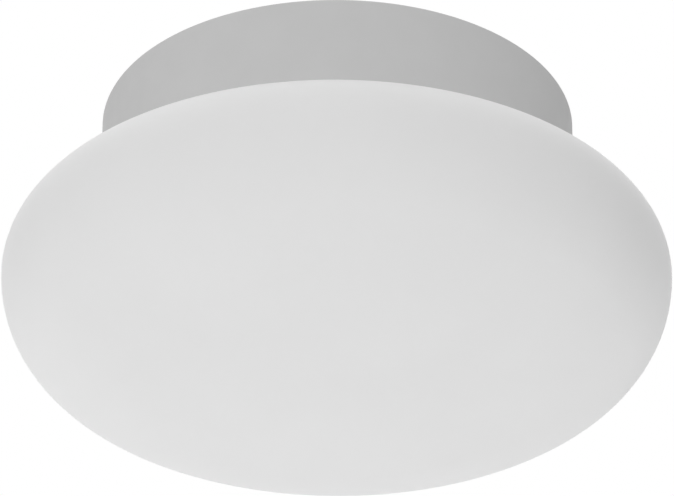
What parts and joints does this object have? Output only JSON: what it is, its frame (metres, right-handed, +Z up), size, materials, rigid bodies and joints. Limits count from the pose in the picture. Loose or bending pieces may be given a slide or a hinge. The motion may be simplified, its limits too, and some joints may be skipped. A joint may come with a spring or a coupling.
{
  "type": "led ceiling light",
  "caption": "Round ceiling light: a domed opal glass diffuser, clipped under a shallow painted steel housing that holds an LED board, its driver and a push-in mains terminal.",
  "frame": {"origin": "centre of the housing's face against the ceiling", "axes": "+Z up, out of the housing into the ceiling; the light hangs towards -Z; +X runs through the two ceiling screws"},
  "size_m": [0.3, 0.3, 0.1452],
  "materials": {
    "opal_glass": "satin opal white, blown",
    "housing_paint": "matt light grey powder coat",
    "tray_paint": "matt reflective white",
    "gasket_foam": "closed-cell foam",
    "black_rubber": "moulded rubber",
    "white_silicone": "translucent silicone",
    "spring_steel": "rolled spring strip",
    "zinc_steel": "bright zinc plate",
    "board_white": "white solder mask on aluminium",
    "led_phosphor": "yellow phosphor in a white frame",
    "white_nylon": "moulded white",
    "case_plastic": "moulded light grey",
    "pcb_laminate": "green solder mask",
    "ferrite": "sintered",
    "winding_tape": "polyester tape",
    "capacitor_sleeve": "shrunk sleeve",
    "film_box": "moulded box",
    "copper_winding": "enamelled copper",
    "button_orange": "moulded orange",
    "tinned_brass": "tinned",
    "wire_brown": "extruded insulation",
    "wire_blue": "extruded insulation",
    "wire_green_yellow": "striped extruded insulation",
    "wire_red": "extruded insulation",
    "wire_black": "extruded insulation"
  },
  "bodies": {
    "housing": {"housing_shell": "housing_paint", "ceiling_gasket": "gasket_foam", "glass_seal": "white_silicone", "mounting_seals": "black_rubber", "cable_grommet": "black_rubber", "spring_clip_1": "spring_steel", "spring_clip_2": "spring_steel", "spring_clip_3": "spring_steel", "tray_standoffs": "zinc_steel", "gear_tray": "tray_paint", "tray_screws": "zinc_steel", "led_board": "board_white", "led_chips": "led_phosphor", "led_board_screws": "zinc_steel", "led_connector": "white_nylon", "wire_bush": "black_rubber", "driver_base": "case_plastic", "driver_cover": "case_plastic", "driver_screws": "zinc_steel", "driver_pcb": "pcb_laminate", "driver_input_terminal": "white_nylon", "driver_output_terminal": "white_nylon", "transformer_core": "ferrite", "transformer_winding": "winding_tape", "bulk_capacitor": "capacitor_sleeve", "film_capacitor": "film_box", "input_choke": "copper_winding", "terminal_block": "white_nylon", "terminal_plate": "case_plastic", "terminal_screws": "zinc_steel", "terminal_clamps": "spring_steel", "earth_washer": "zinc_steel", "earth_lug": "tinned_brass", "earth_screw": "zinc_steel", "earth_wire": "wire_green_yellow", "neutral_wire": "wire_blue", "line_wire": "wire_brown", "led_positive_wire": "wire_red", "led_negative_wire": "wire_black"},
    "diffuser": {"glass_diffuser": "opal_glass"},
    "release_button_1": {"release_button_1": "button_orange"},
    "release_button_2": {"release_button_2": "button_orange"},
    "release_button_3": {"release_button_3": "button_orange"}
  },
  "joints": [
    {"name": "glass_pull", "type": "slide", "parent": "housing", "child": "diffuser", "axis": [0, 0, -1], "range_m": [0, 0.08], "deforming": ["spring_clip_1", "spring_clip_2", "spring_clip_3"]},
    {"name": "release_button_1_press", "type": "slide", "parent": "housing", "child": "release_button_1", "axis": [0, 0, 1], "range_m": [0, 0.0015], "stiffness_N_per_m": 400},
    {"name": "release_button_2_press", "type": "slide", "parent": "housing", "child": "release_button_2", "axis": [0, 0, 1], "range_m": [0, 0.0015], "stiffness_N_per_m": 400},
    {"name": "release_button_3_press", "type": "slide", "parent": "housing", "child": "release_button_3", "axis": [0, 0, 1], "range_m": [0, 0.0015], "stiffness_N_per_m": 400}
  ]
}
